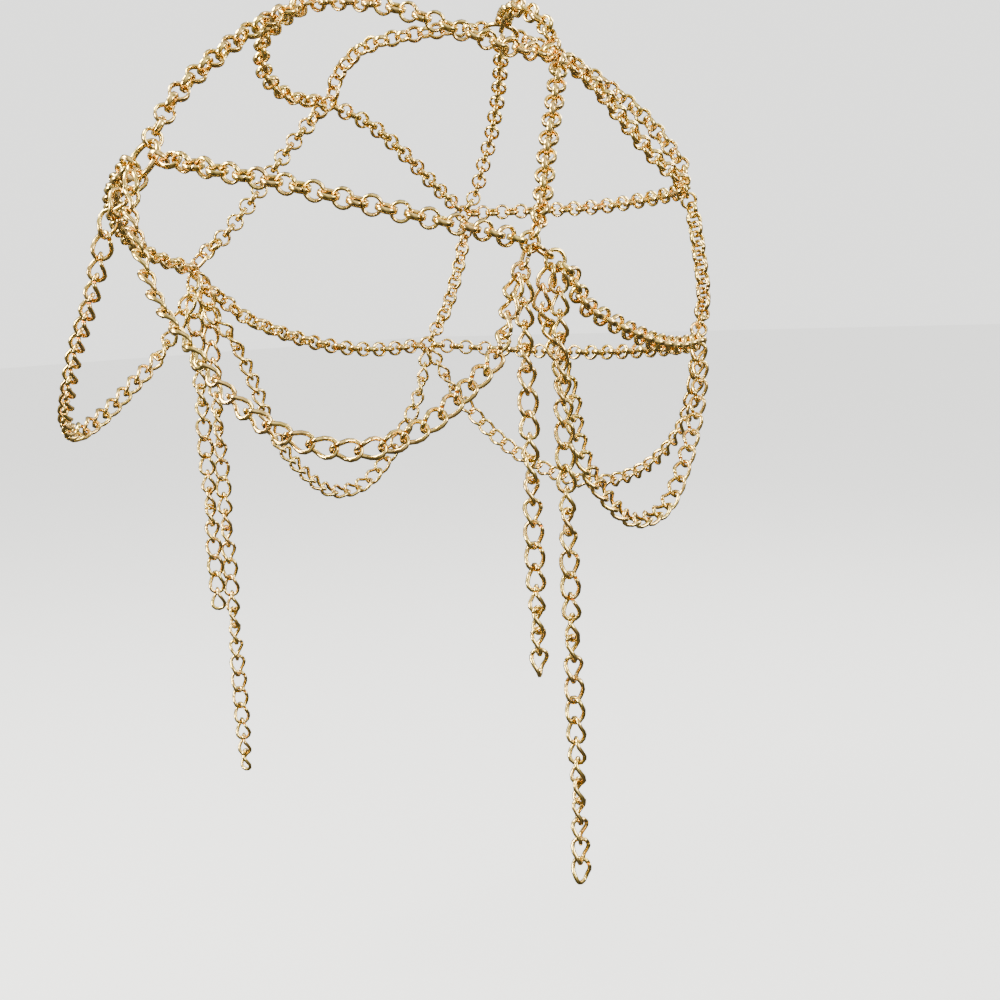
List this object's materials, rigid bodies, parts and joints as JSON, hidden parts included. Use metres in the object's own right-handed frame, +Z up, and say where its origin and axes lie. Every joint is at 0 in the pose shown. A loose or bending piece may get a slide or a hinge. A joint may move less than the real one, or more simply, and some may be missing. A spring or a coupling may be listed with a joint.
{
  "type": "head chain",
  "caption": "Hair chain: a cage of round-link strands over the head, joined by rings, with open oval-link swags hung round it and loose drops at the temples.",
  "frame": {"origin": "middle of the wearer's head where the cage sits on it: on the middle plane, between the temples, 15 mm under the temple rings", "axes": "+Z up, the wearer looks to -Y, the wearer's left side is +X"},
  "size_m": [0.1524, 0.1995, 0.2424],
  "materials": {
    "round_chain": "polished warm gold plating",
    "oval_chain": "polished light gold plating",
    "ring": "polished warm gold plating",
    "hanger": "polished light gold plating"
  },
  "bodies": {
    "root": {"brow_ring": "ring", "crown_ring": "ring", "top_front_ring": "ring", "top_side_ring_left": "ring", "top_side_ring_right": "ring", "top_back_ring_left": "ring", "top_back_ring_right": "ring", "nape_ring_left": "ring", "nape_ring_right": "ring", "temple_ring_left": "ring", "temple_ring_right": "ring", "top_hanger_left": "hanger", "top_hanger_right": "hanger", "front_hanger_left": "hanger", "front_hanger_right": "hanger", "back_hanger_left": "hanger", "back_hanger_right": "hanger", "front_link_left": "ring", "front_link_right": "ring", "back_ring_left": "ring", "back_ring_right": "ring", "brow_strand_left": "round_chain", "brow_strand_right": "round_chain", "side_strand_left": "round_chain", "side_strand_right": "round_chain", "nape_strand": "round_chain", "forehead_strand": "round_chain", "temple_strand_left": "round_chain", "temple_strand_right": "round_chain", "back_strand_left": "round_chain", "back_strand_right": "round_chain", "top_front_strand_left": "round_chain", "top_front_strand_right": "round_chain", "top_side_strand_left": "round_chain", "top_side_strand_right": "round_chain", "top_back_strand": "round_chain", "spoke_side_left": "round_chain", "spoke_side_right": "round_chain", "spoke_back_left": "round_chain", "spoke_back_right": "round_chain", "front_swag_left": "oval_chain", "front_swag_right": "oval_chain", "side_swag_left": "oval_chain", "side_swag_right": "oval_chain", "back_swag": "oval_chain", "front_drop_left": "oval_chain", "front_drop_right": "oval_chain", "back_drop_left": "oval_chain", "back_drop_right": "oval_chain"}
  },
  "joints": []
}
